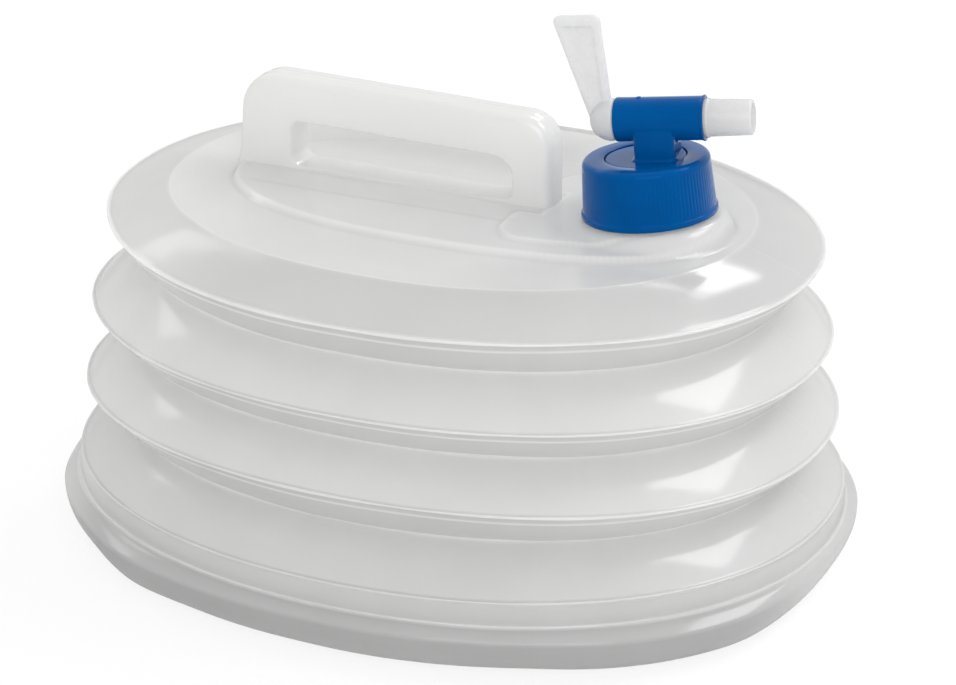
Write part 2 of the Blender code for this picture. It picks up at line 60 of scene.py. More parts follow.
# Levels of the container: half-length and height of each crest, from the base up
crests = ((0.1750, 0.0328), (0.1711, 0.0706), (0.1670, 0.1045), (0.1620, 0.1411))
fold_depth = 0.0178
root_height_share = 0.48
root_round = 0.0012
root_tip = (0.0003, 0.0005)
fold_bow = 0.0010
fold_rows = 16
shoulder_bow = 0.0007
shoulder_rows = 22
deck_half_length = 0.1323
deck_height = 0.1529
deck_rows = ((1.0, 0.30, 88), (0.29, 0.02, 24))

# The bead on each crest, and the groove and the foot of the wall beside it: inset and height
bead_radius = 0.0006
bead_wrap = 95.0
groove = ((0.0011, 0.0004), (0.0016, 0.0005))
wall_foot = (0.0021, 0.0011)
shoulder_foot = (0.0021, 0.0010)

# Parting line and unevenness of a blown wall: sizes and seeds of the noise
seam_height = 0.00020
seam_width = 0.0007
top_seam_height = 0.00006
dent_height = 0.0004
dent_noise = (0.045, 3.1)
ripple_share = 0.2
ripple_noise = (0.013, 7.7)

# Milkiness of the wall, from 0 where the moulding is clear and dark to 1 where it is thick. Most of
# these values are painted shade and painted light: darker undersides, shoulder, grooves, right deck
# end and deck behind the handle, and lighter ends, back, left, beads and edge lines
milk_deck = 0.88
painted_shade_deck_right = 0.15
painted_shade_shoulder = 0.50
painted_light_shoulder_left = 0.18
painted_light_shoulder_back = 0.08
painted_edge_lines = 0.15
painted_shade_behind_handle = 0.22
painted_shade_under = 0.32
painted_light_under_left = 0.26
painted_light_under_right = 0.08
milk_fold = 0.80
painted_light_bead_and_root = 0.79
painted_shade_groove = 0.68
painted_light_pan_left = 0.42
painted_light_pan_away_from_front = 0.55
milk_seam = 0.06
milk_seam_width = 0.0006
clouds = ((0.05, 0.060, 21.4), (0.03, 0.018, 4.2))

# Where each of these painted changes of shade and light starts, and the length over which it grows
fold_ends = (0.050, 0.090)
shoulder_left_reach = (0.050, 0.060)
shoulder_back_reach = (-0.06, 0.10)
pan_left_reach = (0.110, 0.050)
pan_left_height = (-0.002, 0.012)
pan_side_reach = (-0.55, 0.45)
deck_right_reach = (0.030, 0.070)
shade_behind_handle_x = -0.025
shade_behind_handle_sides = (0.040, 0.050)
shade_behind_handle_front = (0.018, 0.030)
shade_behind_handle_back = (0.075, 0.030)
crease_sides = (0.060, 0.012)

# Painted highlight and painted shade lines along the edges of pad and boss: inset and width; and
# the width of the painted shade line at the flare's foot
painted_highlight_line = (0.0023, 0.0010)
painted_shade_line = 0.0011
crease_width = 0.0010

# Milkiness of the base pan by height: underside, foot, bulge, flange, band and bead; painted shade
# darkens the underside, foot and bulge, and painted light brightens the flange lip and the bead
pan_painted_shading_by_height = (
    (0.0, 0.18),
    (0.0120, 0.02),
    (0.0172, 0.02),
    (0.0192, 0.34),
    (0.0221, 0.34),
    (0.0224, 1.0),
    (0.0230, 1.0),
    (0.0234, 0.38),
    (0.0321, 0.58),
    (0.0328, painted_light_bead_and_root),
)

# How the soft container sags: lift of each crest at its left end, right end and back
sag_left = (0.0, -0.0045, 0.0, 0.0078)
sag_right = (0.0, -0.0045, -0.0025, -0.0005)
sag_back = (0.0, 0.0, 0.0, 0.0030)
sag_power = 2.2
sag_from_middle = (0.62, 0.36)
left_pull = 0.0056

# Base pan
pan_foot = 0.1636
pan_half_length = 0.1795
pan_half_width = pan_half_length - pan_slimness
pan_bulge_height = 0.0185
flange = 0.1757
flange_height = 0.0224
foot_rows = 18
shelf_rows = 10
underside = ((0.0400, 0.0012), (0.0900, 0.0012), (0.1460, 0.0012), (0.1500, 0.0004), (0.1540, 0.0))
flange_lip = ((0.0005, 0.0002), (0.0005, 0.0006), (-0.0003, 0.0009), (-0.0005, 0.0014))
band_top = (0.0010, 0.0014)
band_bow = 0.0006
band_rows = 8

# Waves of the base pan's bulge and foot, in millimetres, from the left end round the front
wave_start = 180.0
wave_step = 12.0
wave_blur = 9
bulge_waves = (
    (0.0, 0.2, 0.3, -0.5, -1.2, 1.3, -0.4, -0.1, -0.2, -1.4, -1.7)
    + (-0.5, 0.9, 1.4, -0.1, -0.8, 0.2, -0.1, -0.2, 0.0, 0.0)
)
foot_waves = (
    (0.0, 0.0, -0.1, -0.5, -0.4, 0.9, -0.4, -0.1, -0.2, -1.3, -1.5)
    + (-0.5, 0.7, 1.3, 0.0, -0.5, -0.4, 0.0, 0.0, 0.0, 0.0)
)

# Pad, boss and collar on the deck
pad_centre_x = 0.0100
pad_half_length = 0.1160
pad_half_width = 0.0600
pad_power = 2.3
pad_height = 0.0026
pad_slope = 0.0026
boss_inset = 0.0125
boss_left = 0.0326
boss_side = 0.0125
boss_foot_end = 0.0440
boss_corner = 0.0340
boss_corner_slant = 0.80
boss_corner_length = 0.78
boss_rounding = 0.0018
boss_height = 0.0013
boss_slope = 0.0020
edge_softness = 0.6
pad_top = deck_height + pad_height
boss_top = pad_top + boss_height

# Handle: corner radii run from the top right through the top left and the bottom left
handle_left = -0.1015
handle_right = 0.0468
handle_middle = (handle_left + handle_right) / 2.0
handle_foot = 0.1490
handle_crown = pad_top + 0.0423
handle_half = 0.0088
handle_corners = (0.0135, 0.0170, 0.0040, 0.0040)
gap_left = -0.0765
gap_right = 0.0293
gap_top = handle_crown - 0.0185
gap_bottom = gap_top - 0.0193
gap_corners = (0.0090, 0.0045, 0.0045, 0.0045)
handle_edge = 0.0045
gap_edge = 0.0014
long_side_steps = 110
short_side_steps = 16
handle_seam_height = 0.00022
handle_seam_width = 0.0006
handle_dents = (0.00022, 0.030, 11.3)
handle_ripples = (0.00005, 0.009, 5.9)

# How far the handle is from its plain outline, by the share of its length and height
post_lean = 0.0014
post_spread = 0.0032
crown_lift = 0.0016
crown_fall = 0.0026
gap_lean = 0.0015
gap_top_fall = 0.0017
gap_bottom_drop = 0.0013
gap_bottom_fall = 0.0003
end_power = 8

# Flare of the deck up to the handle
flare_height = 0.0012
flare_side = 0.0162
flare_end = 0.0100
flare_side_tuck = 0.001
flare_end_tuck = 0.004
flare_fillet = 0.85
flare_fillet_reach = 0.13
flare_lost_on_boss = 0.6

# Neck and its collar
cap_lip_radius = 0.0291
neck_lean = math.radians(6.0)
neck_rise = 0.0004
neck_foot = Vector((0.0898, 0.0, boss_top + cap_lip_radius * math.sin(neck_lean) + neck_rise))
collar_radius = 0.0310
collar_slope = 0.0070
collar_drop = 0.0010

# Cap
cap_height = 0.0253
window_radius = 0.0176
rib_count = 96
rib_depth = 0.00011
rib_least_radius = 0.0266
rib_fade_foot = 0.0010
rib_fade_top = 0.0012
skirt_foot = 0.0036
skirt_top = cap_height - 0.0030
skirt_radius = 0.0283
skirt_taper = 0.0011
skirt_rows = 12
cap_round = 0.0028
cap_inner_radius = 0.0254
cap_plate = 0.0022

# Tap body
tap_yaw = math.radians(10.8)
stem_offset = 0.0054
barrel_height = 0.0411
barrel_left = 0.0170
barrel_right = 0.0215
barrel_radius = 0.0093
barrel_bore = 0.0084
stem_bore = 0.0062
past_end = 0.002
tap_flange_radius = 0.0238
tap_flange_plate = 0.0022
nib_inset = 0.0105
nib_radius = 0.0013

# Columns of the turned pieces
turned_columns = 96
bore_columns = 64
nib_columns = 24

# Plug, spout and lever
spout_length = 0.0187
spout_bore = 0.0059
head_radius = 0.0090
elbow_reach = 0.0107
lever_face = -barrel_left - 0.0003
lever_length = 0.0454
lever_sunk = 0.0050
lever_tip = 0.0034
lever_half = 0.0021
lever_thin_half = 0.0007
lever_edge = 0.0016

# The lever's edges: distance from the face at the foot and what the length adds, and tip corners
lever_right_edge = (0.0004, 0.0028)
lever_left_edge = (0.0104, 0.0136)
lever_right_corner = 0.0022
lever_left_corner = 0.0038
lever_end_round = 0.0020

# The recess in both faces: depth, and distance and slope from the sides, the tip and the foot
recess_depth = 0.0013
recess_sides = (0.0028, 0.0014)
recess_tip = (0.0042, 0.0012)
recess_foot = (0.0060, 0.0060)

neck_matrix = Matrix.Translation(neck_foot) @ Matrix.Rotation(-neck_lean, 4, "Y")
tap_matrix = neck_matrix @ Matrix.Rotation(tap_yaw, 4, "Z")
barrel_place = Matrix.Translation((stem_offset, 0.0, barrel_height))
barrel_place = barrel_place @ Matrix.Rotation(math.pi / 2, 4, "Y")
barrel_matrix = tap_matrix @ barrel_place

# Colours from the clear or dark share of each material to the dense or light one
wall_colours = ((0.50, 0.50, 0.50, 1.0), (0.95, 0.95, 0.945, 1.0))
handle_colours = ((0.81, 0.81, 0.805, 1.0), (0.86, 0.86, 0.85, 1.0))
blue_colours = ((0.0, 0.068, 0.245, 1.0), (0.0, 0.077, 0.270, 1.0))
blue_shine = (0.10, 0.16, 0.80, 1.0)
white_colours = ((0.77, 0.77, 0.78, 1.0), (0.83, 0.83, 0.83, 1.0))
white_glow = (0.80, 0.80, 0.80, 1.0)
rubber_colours = ((0.12, 0.12, 0.13, 1.0), (0.20, 0.20, 0.21, 1.0))
wall_glow_share = 0.55
handle_glow_share = 0.47
white_glow_share = 0.45

# Studio: bearing, elevation and distance of each light, its target, size, power and mirroring
middle = (0.05, -0.03, 0.10)
left_side = (-0.05, 0.0, 0.10)
lights = {
    "softbox_right": ((33.0, 51.0, 1.6), middle, (0.90, 0.60), 9.0, True),
    "softbox_back": ((87.0, 44.5, 1.6), middle, (0.46, 0.38), 4.8, True),
    "softbox_left": ((170.0, 35.5, 1.9), left_side, (0.54, 0.28), 1.2, True),
    "softbox_left_near": ((147.0, 39.5, 1.9), left_side, (0.50, 0.24), 0.9, True),
    "softbox_front": ((-66.0, 30.0, 2.4), (0.0, 0.0, 0.10), (1.8, 1.4), 23.0, True),
    "fill_left": ((195.0, 12.0, 2.2), (-0.05, 0.0, 0.08), (1.6, 1.2), 9.0, False),
    "fill_right": ((-8.0, 10.0, 2.2), (0.05, 0.0, 0.08), (1.6, 1.2), 5.2, False),
}
light_centre = Vector((0.0, 0.0, 0.1))
world_light = 0.62
white = (1.0, 1.0, 1.0, 1.0)
floor_half = 6.0
floor_drop = 0.0002
floor_as_light = (0.80, 0.80, 0.80, 1.0)
floor_as_seen = (0.20, 0.20, 0.20, 1.0)
floor_glow = 0.80

# Camera, fitted to the ovals of the crests, the base and the cap
camera_lens = 112.97
camera_sensor = 36.0
camera_reach = 30.0
camera_place = Vector((0.52766, -1.11109, 0.60309))
camera_right = Vector((0.90592, 0.42344, 0.00215))
camera_up = Vector((-0.16642, 0.35136, 0.92133))
camera_back = Vector((0.38937, -0.83501, 0.38878))


def smooth(values):
    t = np.clip(values, 0.0, 1.0)
    return t * t * (3.0 - 2.0 * t)


def rise(values, start, length):
    """0 up to start and 1 from start + length on, with a soft rise between."""
    return smooth((values - start) / length)


def ramp(values, softness):
    """From 0 to 1 with a straight middle and softened ends."""
    return (1.0 - softness) * np.clip(values, 0.0, 1.0) + softness * smooth(values)


def line(distance, width):
    """1 on a line, fading to 0 beside it."""
    return np.exp(-((distance / width) ** 2))


def column_angles():
    """Angles round the oval, with closer columns at both ends, where the parting line runs."""
    turns = set(round(math.tau * i / column_count, 6) for i in range(column_count))
    for end in (0.0, math.pi):
        for offset in seam_columns:
            turns.add(round((end + offset) % math.tau, 6))
            turns.add(round((end - offset) % math.tau, 6))
    return np.array(sorted(turns))


def unit_oval(turns, power):
    """X and Y of a superellipse of half-lengths 1 at the angles."""
    x = np.sign(np.cos(turns)) * np.abs(np.cos(turns)) ** (2.0 / power)
    y = np.sign(np.sin(turns)) * np.abs(np.sin(turns)) ** (2.0 / power)
    return x, y


angles = column_angles()
unit_x, unit_y = unit_oval(angles, oval_power)


def grid_mesh(name, grid, pole_start=False, pole_end=False, milk_and_painted_shading=None):
    """A mesh from levels of closed columns.

    A pole closes an end with a fan. The milkiness, into which painted shade and painted light are
    mixed, is kept with the points.
    """
    levels, columns = grid.shape[:2]
    verts = [tuple(v) for v in grid.reshape(-1, 3)]
    faces = []
    for i in range(levels - 1):
        low, high = i * columns, (i + 1) * columns
        for j in range(columns):
            k = (j + 1) % columns
            faces.append((low + j, low + k, high + k, high + j))
    for pole, level in ((pole_start, 0), (pole_end, levels - 1)):
        if pole:
            verts.append(tuple(grid[level].mean(axis=0)))
            centre = len(verts) - 1
            for j in range(columns):
                edge = (level * columns + j, level * columns + (j + 1) % columns)
                faces.append((*edge, centre) if level else (*reversed(edge), centre))
    mesh = bpy.data.meshes.new(name)
    mesh.from_pydata(verts, [], faces)
    mesh.shade_smooth()
    if milk_and_painted_shading is not None:
        poles = [milk_and_painted_shading[0].mean()] * pole_start + [milk_and_painted_shading[-1].mean()] * pole_end
        values = np.append(milk_and_painted_shading.reshape(-1), poles).astype(np.float32)
        mesh.attributes.new("milk_and_painted_shading", "FLOAT", "POINT").data.foreach_set("value", values)
    item = bpy.data.objects.new(name, mesh)
    bpy.context.collection.objects.link(item)
    return item


def grid_normals(grid):
    """Outward directions of a grid of closed columns."""
    along = np.gradient(grid, axis=0)
    around = np.roll(grid, -1, axis=1) - np.roll(grid, 1, axis=1)
    normals = np.cross(around, along)
    return normals / np.maximum(np.linalg.norm(normals, axis=2, keepdims=True), 1e-12)


def wobble(grid, scale, seed):
    """Smooth noise in -1..1 at the points of a grid."""
    shift = Vector((seed, seed * 0.37, -seed * 0.61))
    flat = [noise.noise(Vector(p) / scale + shift) for p in grid.reshape(-1, 3)]
    return np.array(flat).reshape(grid.shape[:2])


def ring_levels(profile):
    """The grid of ovals for a profile of (half-length, height)."""
    grid = np.zeros((len(profile), len(angles), 3))
    for i, (half_length, height) in enumerate(profile):
        grid[i, :, 0] = half_length * unit_x
        grid[i, :, 1] = max(half_length - oval_slimness, 0.0) * unit_y
        grid[i, :, 2] = height
    return grid


def pan_waves():
    """The waves of the bulge and of the foot at every column."""
    knots = np.radians(wave_start + wave_step * np.arange(len(bulge_waves)))
    turned = np.where(angles < knots[-1] - math.tau, angles + math.tau, angles)
    kernel = np.hanning(wave_blur) / np.hanning(wave_blur).sum()
    side = wave_blur // 2
    waves = []
    for heights in (bulge_waves, foot_waves):
        raw = np.interp(turned, knots, heights, left=0.0, right=0.0) * 0.001
        closed = np.concatenate((raw[-side:], raw, raw[:side]))
        waves.append(np.convolve(closed, kernel, mode="valid"))
    return waves


def pan_levels(profile):
    """The grid for (half-length, height, share of the pan's own oval, bulge wave, foot wave)."""
    grid = np.zeros((len(profile), len(angles), 3))
    bulge_wave, foot_wave = pan_waves()
    for i, (half_length, height, share, bulge, foot) in enumerate(profile):
        x, y = unit_oval(angles, oval_power + (pan_power - oval_power) * share)
        slimness = oval_slimness + (pan_slimness - oval_slimness) * share
        offset = bulge_wave * bulge + foot_wave * foot
        reach_x = (half_length + offset) * x
        reach_y = (max(half_length - slimness, 0.0) + offset) * y
        grid[i, :, 0] = np.clip(reach_x, -pan_half_length, pan_half_length)
        grid[i, :, 1] = np.clip(reach_y, -pan_half_width, pan_half_width)
        grid[i, :, 2] = height
    return grid


def sagged(grid):
    """Lifts and lowers the ends of the crests, as the container does under its own weight."""
    x, y, z = grid[..., 0], grid[..., 1], grid[..., 2]
    heights = [crest[1] for crest in crests]
    level = np.minimum(z, heights[-1])
    reach = np.interp(level, heights, [crest[0] for crest in crests])
    outer = np.clip(np.abs(x) / reach, 0.0, 1.0)
    across = np.clip(y / (reach - oval_slimness), 0.0, 1.0)
    rim = np.hypot(x / reach, y / (reach - oval_slimness))
    rim = np.where(z > heights[-1], rise(rim, *sag_from_middle), 1.0)
    left = np.interp(level, heights, sag_left)
    right = np.interp(level, heights, sag_right)
    lift = np.where(x < 0.0, left, right) * outer**sag_power
    lift = (lift + np.interp(level, heights, sag_back) * across**2) * rim
    top_share = np.interp(level, heights[-2:], (0.0, 1.0))
    pull = np.where(x < 0.0, left_pull * outer**3, 0.0) * top_share * rim
    moved = grid.copy()
    moved[..., 0] += pull
    moved[..., 2] += lift
    return moved


def moulded(grid, seam=seam_height):
    """Adds the parting line at both ends and the uneven surface of a blow-moulded wall."""
    ridge = seam * line(grid[..., 1], seam_width)
    uneven = dent_height * wobble(grid, *dent_noise)
    uneven += ripple_share * dent_height * wobble(grid, *ripple_noise)
    return grid + grid_normals(grid) * (ridge + uneven)[..., None]


def bow(start, end, height, steps):
    """Profile points from start to end, bowed outwards; start is left out and end is kept."""
    start = np.array(start)
    chord = np.array(end) - start
    out = np.array((chord[1], -chord[0])) / np.linalg.norm(chord)
    points = []
    for step in range(1, steps + 1):
        t = step / steps
        points.append(tuple(start + chord * t + out * height * 4.0 * t * (1.0 - t)))
    return points


def bead(crest, start, end, steps=5):
    """An arc of the round bead on a crest, between two angles in degrees."""
    return arc((crest[0] - bead_radius, crest[1]), bead_radius, start, end, steps)


def arc(centre, radius, start, end, steps):
    """Points on an arc of a profile, angles in degrees from +radius towards +height."""
    points = []
    for step in range(steps + 1):
        turn = math.radians(start + (end - start) * step / steps)
        points.append((centre[0] + radius * math.cos(turn), centre[1] + radius * math.sin(turn)))
    return points


def inside(crest, offset, side=1.0):
    """The point at an offset inwards from a crest, above it or with side -1 below it."""
    return (crest[0] - offset[0], crest[1] + side * offset[1])


def fold_profile(below, above):
    """From one bead over the root of the fold to the next bead: (half-length, height, milkiness
    with painted shade and light).
    """
    root = (above[0] - fold_depth, below[1] + (above[1] - below[1]) * root_height_share)
    start = inside(below, wall_foot)
    upper_end = inside(above, wall_foot, -1.0)
    foot = (root[0] + root_round, root[1] - root_round)
    head = (root[0] + root_round, root[1] + root_round)
    # painted light on the bead and painted shade in the grooves beside it
    points = [(*p, painted_light_bead_and_root) for p in bead(below, 0.0, bead_wrap)]
    points += [(*inside(below, offset), painted_shade_groove) for offset in groove]
    points += [(*start, milk_fold)]
    points += [(*p, milk_fold) for p in bow(start, foot, fold_bow, fold_rows)]
    # painted light along the root of the fold
    points += [(root[0] + root_tip[0], root[1] - root_tip[1], painted_light_bead_and_root)]
    points += [(*root, painted_light_bead_and_root)]
    points += [(root[0] + root_tip[0], root[1] + root_tip[1], painted_light_bead_and_root)]
    # painted shade on the underside of the fold, which faces down
    points += [(*head, painted_shade_under)]
    under = [(*p, painted_shade_under) for p in bow(head, upper_end, fold_bow, fold_rows)]
    under[-4] = (*under[-4][:2], milk_fold)
    points += under
    points += [(*inside(above, offset, -1.0), painted_shade_groove) for offset in reversed(groove)]
    points += [(*p, painted_light_bead_and_root) for p in bead(above, -bead_wrap, 0.0)]
    return points


def uneven_milk(grid, levels):
    """The milkiness of each level, painted shade and light included, with the slow cloudiness of a
    blown wall.
    """
    milk_and_painted_shading = np.array(levels)[:, None] + np.zeros(grid.shape[:2])
    for strength, scale, seed in clouds:
        milk_and_painted_shading = milk_and_painted_shading + strength * wobble(grid, scale, seed)
    return milk_and_painted_shading


def seam_milk(grid):
    """The parting line is a little thicker than the wall beside it."""
    at_end = np.abs(grid[..., 0]) > deck_half_length
    return milk_seam * line(grid[..., 1], milk_seam_width) * at_end


def build_bellows():
    profile = []
    for below, above in zip(crests, crests[1:]):
        points = fold_profile(below, above)
        profile += points if not profile else points[1:]
    grid = moulded(sagged(ring_levels([row[:2] for row in profile])))
    levels = np.array([row[2] for row in profile])
    milk_and_painted_shading = uneven_milk(grid, levels)
    # painted light on the undersides of the folds towards both ends
    ends = painted_light_under_left * rise(-grid[..., 0], *fold_ends)
    ends += painted_light_under_right * rise(grid[..., 0], *fold_ends)
    milk_and_painted_shading += ends * (levels == painted_shade_under)[:, None] + seam_milk(grid)
    item = grid_mesh("bellows_skin", grid, milk_and_painted_shading=milk_and_painted_shading)
    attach(item, "base")
    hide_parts("bellows_fold_lower", "bellows_fold_middle", "bellows_fold_upper")
    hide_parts("fold_crest_lower", "fold_crest_middle")
    return item


def base_profile():
    """Underside, rounded foot, bulge, flange, band and the lowest bead, as pan_levels reads it."""
    profile = [(half_length, height, 1.0, 0.0, 1.0) for half_length, height in underside]
    for step in range(foot_rows + 1):
        turn = math.pi / 2 * step / foot_rows
        reach = pan_foot + (pan_half_length - pan_foot) * math.sin(turn)
        height = pan_bulge_height * (1.0 - math.cos(turn))
        profile.append((reach, height, 1.0, 1.0, 1.0 - height / pan_bulge_height))
    for step in range(1, shelf_rows + 1):
        turn = math.pi / 2 * step / shelf_rows
        reach = pan_half_length - (pan_half_length - flange) * (1.0 - math.cos(turn))
        height = pan_bulge_height + (flange_height - pan_bulge_height) * math.sin(turn)
        share = 1.0 - math.sin(turn)
        profile.append((reach, height, share, share, 0.0))
    rim = [(flange + out, flange_height + up) for out, up in flange_lip]
    rim += bow(rim[-1], inside(crests[0], band_top, -1.0), band_bow, band_rows)
    rim += bead(crests[0], -60.0, 0.0)
    return profile + [(half_length, height, 0.0, 0.0, 0.0) for half_length, height in rim]


def build_base():
    """The base pan, up to the lowest bead."""
    profile = base_profile()
    grid = moulded(pan_levels(profile))
    corner = (pan_half_length, pan_half_width, crests[1][1])
    grid = np.clip(grid, (-pan_half_length, -pan_half_width, 0.0), corner)
    # painted shade low on the pan and painted light on the flange lip and bead
    levels = np.interp([row[1] for row in profile], *zip(*pan_painted_shading_by_height))
    milk_and_painted_shading = uneven_milk(grid, levels)
    # painted light on the pan's left end
    at_left = rise(-grid[..., 0], *pan_left_reach)
    milk_and_painted_shading += painted_light_pan_left * at_left * rise(grid[..., 2], *pan_left_height)
    # painted light on the pan away from its front, whose front stays darker as painted shade
    away = rise(grid[..., 1] / pan_half_width, *pan_side_reach)
    milk_and_painted_shading += (painted_light_pan_away_from_front - milk_and_painted_shading) * away * (milk_and_painted_shading < painted_light_pan_away_from_front)
    item = grid_mesh("base_pan", grid, pole_start=True, milk_and_painted_shading=milk_and_painted_shading)
    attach(item, "base")
    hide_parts("container_base")
    return item


def oval_inset(x, y, half_length, half_width, power, centre_x):
    """How far a point lies inside an oval, in metres, near its edge."""
    u = np.abs((x - centre_x) / half_length)
    v = np.abs(y / half_width)
    f = np.maximum((u**power + v**power) ** (1.0 / power), 1e-6)
    from_centre = np.hypot(x - centre_x, y) / f
    gx = u ** (power - 1.0) / half_length
    gy = v ** (power - 1.0) / half_width
    slope = np.hypot(gx, gy) * f ** (1.0 - power)
    return np.where(f > 0.3, (1.0 - f) / np.maximum(slope, 1e-6), from_centre)


def pad_insets(x, y):
    """How far points lie inside the pad and inside the boss on it."""
    pad_inset = oval_inset(x, y, pad_half_length, pad_half_width, pad_power, pad_centre_x)
    foot = np.maximum(np.abs(y) - boss_side, x - boss_foot_end)
    corner = x - boss_left - boss_corner_slant * (np.abs(y) - boss_corner)
    insets = (pad_inset - boss_inset, x - boss_left, corner * boss_corner_length, foot)
    steps = [np.clip(inset / boss_rounding, -30.0, 30.0) for inset in insets]
    return pad_inset, -boss_rounding * np.log(sum(np.exp(-step) for step in steps))


def deck_relief(x, y):
    """Height of the deck above its own level: pad, boss, flare and the neck's collar."""
    pad_inset, boss_in = pad_insets(x, y)
    pad = pad_height * ramp(pad_inset / pad_slope, edge_softness)
    boss = boss_height * ramp(boss_in / boss_slope, edge_softness)
    half = (handle_right - handle_left) / 2.0
    dx = np.maximum(np.abs(x - handle_middle) - half + flare_end_tuck, 0.0)
    dy = np.maximum(np.abs(y) - handle_half + flare_side_tuck, 0.0)
    spread = np.hypot(dx / (flare_end + flare_end_tuck), dy / (flare_side + flare_side_tuck))
    flare = np.maximum(1.0 - spread, 0.0) + flare_fillet * np.exp(-spread / flare_fillet_reach)
    level = pad + boss + flare_height * flare * (1.0 - flare_lost_on_boss * boss / boss_height)
    radius = np.hypot(x - neck_foot.x, y)
    plane = neck_foot.z - collar_drop - deck_height + (x - neck_foot.x) * math.tan(neck_lean)
    collar = 1.0 - rise(radius, collar_radius, collar_slope)
    return np.where(plane > level, level + (plane - level) * collar, level)


def deck_painted_shading(deck):
    """Painted shade and light on the deck: painted shade at the right end and behind the handle,
    painted highlight and shade lines along the pad and boss, and a painted shade line at the
    flare's foot.
    """
    x, y = deck[..., 0], deck[..., 1]
    # painted shade on the right end of the deck
    milk_and_painted_shading = -painted_shade_deck_right * rise(x, *deck_right_reach)
    # painted shade on the deck behind the handle
    behind = rise(y, *shade_behind_handle_front) * (1.0 - rise(y, *shade_behind_handle_back))
    milk_and_painted_shading -= painted_shade_behind_handle * behind * (1.0 - rise(np.abs(x - shade_behind_handle_x), *shade_behind_handle_sides))
    # painted highlight and painted shade lines along the pad and boss edges
    for inset in pad_insets(x, y):
        milk_and_painted_shading += painted_edge_lines * (line(inset - painted_highlight_line[0], painted_highlight_line[1]) - line(inset, painted_shade_line))
    # painted shade line at the foot of the flare in front of the handle
    beside = 1.0 - rise(np.abs(x - handle_middle), *crease_sides)
    return milk_and_painted_shading - painted_edge_lines * line(y + handle_half + flare_side, crease_width) * beside


def build_top():
    """Crest, shoulder and deck with its relief, down to the middle."""
    crest = crests[-1]
    beads = bead(crest, 0.0, bead_wrap)
    edge = [inside(crest, offset) for offset in groove]
    slope = [inside(crest, shoulder_foot)]
    deck_edge = (deck_half_length + 0.0008, deck_height - 0.0003)
    slope += bow(slope[0], deck_edge, shoulder_bow, shoulder_rows)
    # painted light on the bead, painted shade in the groove and on the shoulder
    levels = [painted_light_bead_and_root] * len(beads) + [painted_shade_groove] * len(edge) + [painted_shade_shoulder] * len(slope)
    shares = np.concatenate([np.linspace(*rows) for rows in deck_rows])[:, None]
    deck = np.zeros((len(shares), len(angles), 3))
    deck[..., 0] = deck_half_length * shares * unit_x
    deck[..., 1] = (deck_half_length - oval_slimness) * shares * unit_y
    deck[..., 2] = deck_height + deck_relief(deck[..., 0], deck[..., 1])
    deck[0, :, 2] = deck_height
    both = np.concatenate((ring_levels(beads + edge + slope), deck))
    both = moulded(sagged(both), top_seam_height)
    milk_and_painted_shading = uneven_milk(both, levels + [milk_deck] * len(shares))
    rim = len(levels)
    shoulder = both[:rim]
    # painted light on the back of the shoulder, and the parting line's own milkiness
    milk_and_painted_shading[:rim] += painted_light_shoulder_back * rise(shoulder[..., 1], *shoulder_back_reach) + seam_milk(shoulder)
    # painted light on the left of the shoulder
    milk_and_painted_shading[:rim] += painted_light_shoulder_left * rise(-shoulder[..., 0], *shoulder_left_reach)
    # painted shade and light on the deck
    milk_and_painted_shading[rim:] += deck_painted_shading(deck)
    # a painted highlight line along the deck's edge
    milk_and_painted_shading[rim - 1 : rim + 1] += 0.5 * painted_edge_lines
    item = grid_mesh("top_skin", both, pole_end=True, milk_and_painted_shading=milk_and_painted_shading)
    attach(item, "top")
    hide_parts("container_top")
    return item


def corner_loop(left, right, bottom, top, radii, corner_steps=10):
    """A closed loop in X and Z: top right, top left, bottom left, bottom right, with sides."""
    centres = (
        (right - radii[0], top - radii[0]),
        (left + radii[1], top - radii[1]),
        (left + radii[2], bottom + radii[2]),
        (right - radii[3], bottom + radii[3]),
    )
    steps = (long_side_steps, short_side_steps) * 2
    corners = []
    for i, (centre, radius) in enumerate(zip(centres, radii)):
        corners.append(arc(centre, radius, 90.0 * i, 90.0 * (i + 1), corner_steps))
    loop = []
    for i, corner in enumerate(corners):
        loop += corner
        start = np.array(corner[-1])
        end = np.array(corners[(i + 1) % 4][0])
        for step in range(1, steps[i]):
            loop.append(tuple(start + (end - start) * step / steps[i]))
    return np.array(loop)


def handle_section():
    """Round a section of the handle: (share from the gap, inset from that side, depth) rows."""
    seam_rows = (0.0, -0.0006, -0.0020)
    rows = [(0.0, 0.0, y) for y in seam_rows]
    for inset, depth in arc((0.0, 0.0), gap_edge, 180.0, 90.0, 6):
        rows.append((0.0, gap_edge + inset, -(handle_half - gap_edge + depth)))
    rows += [(share, None, -handle_half) for share in (0.15, 0.3, 0.5, 0.7, 0.85)]
    for inset, depth in arc((0.0, 0.0), handle_edge, 90.0, 180.0, 8):
        rows.append((1.0, handle_edge + inset, -(handle_half - handle_edge + depth)))
    rows += [(1.0, 0.0, y) for y in reversed(seam_rows)]
    return rows + [(share, inset, -y) for share, inset, y in reversed(rows[1:-1])]


